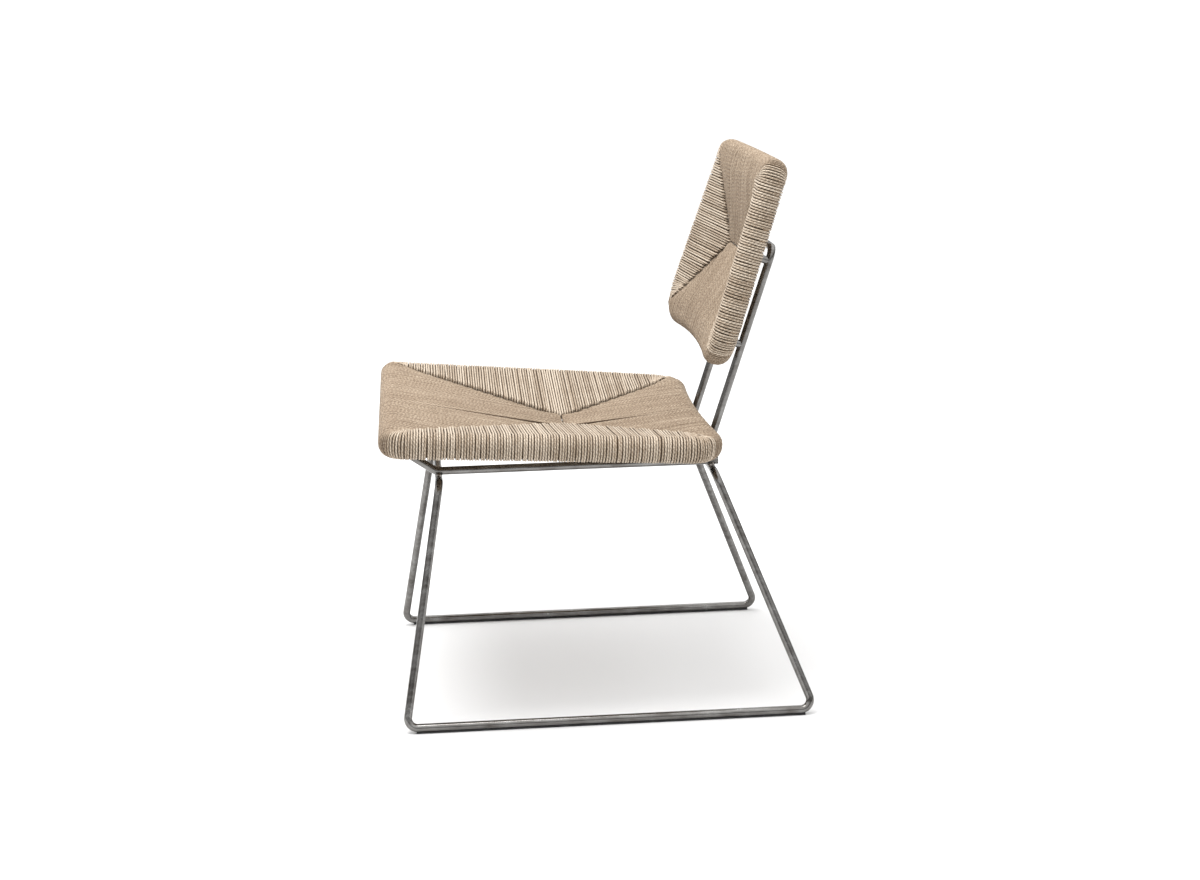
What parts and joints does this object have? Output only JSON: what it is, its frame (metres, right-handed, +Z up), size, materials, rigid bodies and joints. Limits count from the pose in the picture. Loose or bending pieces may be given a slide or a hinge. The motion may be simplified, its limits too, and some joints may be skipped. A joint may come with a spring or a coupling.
{
  "type": "side chair",
  "caption": "Low armless chair with crossed paper cord seat and back wrapped over wooden frames, on a sled base of bent steel rod.",
  "frame": {"origin": "on the floor, under the middle of the overall width and depth", "axes": "+Z up, the sitter faces -Y, +X is the sitter's left hand"},
  "size_m": [0.6196, 0.6242, 0.811],
  "materials": {
    "steel_rod": "satin polished round steel rod",
    "weld_steel": "ground weld bead, slightly heat darkened",
    "plate_steel": "cut and bent flat steel, satin",
    "screw_steel": "bright zinc plated steel",
    "paper_cord": "natural three-ply twisted paper cord, unlacquered",
    "frame_wood": "planed solid beech, unfinished inside the wrapping",
    "dowel_wood": "fluted beech dowel",
    "glide_plastic": "dark moulded glide strip",
    "spacer_rubber": "black moulded spacer block"
  },
  "bodies": {
    "root": {"back_bottom_rail": "frame_wood", "back_cord_bottom": "paper_cord", "back_cord_left": "paper_cord", "back_cord_right": "paper_cord", "back_cord_top": "paper_cord", "back_corner_blocks": "frame_wood", "back_dowels": "dowel_wood", "back_hoop_rod": "steel_rod", "back_left_rail": "frame_wood", "back_right_rail": "frame_wood", "back_standoff_washers": "screw_steel", "back_standoffs_lower": "steel_rod", "back_standoffs_upper": "steel_rod", "back_strap_left": "plate_steel", "back_strap_right": "plate_steel", "back_strap_screws": "screw_steel", "back_top_rail": "frame_wood", "base_rod_left": "steel_rod", "base_rod_right": "steel_rod", "carrier_front_welds": "weld_steel", "carrier_rear_welds": "weld_steel", "crossbar_butt_welds": "weld_steel", "hoop_foot_welds": "weld_steel", "runner_glide_left": "glide_plastic", "runner_glide_right": "glide_plastic", "seat_carrier_rod": "steel_rod", "seat_cord_front": "paper_cord", "seat_cord_left": "paper_cord", "seat_cord_rear": "paper_cord", "seat_cord_right": "paper_cord", "seat_corner_blocks": "frame_wood", "seat_dowels": "dowel_wood", "seat_front_rail": "frame_wood", "seat_front_saddles": "plate_steel", "seat_front_screws": "screw_steel", "seat_left_rail": "frame_wood", "seat_rear_plates": "plate_steel", "seat_rear_rail": "frame_wood", "seat_rear_screws": "screw_steel", "seat_rear_spacers": "spacer_rubber", "seat_right_rail": "frame_wood"}
  },
  "joints": []
}
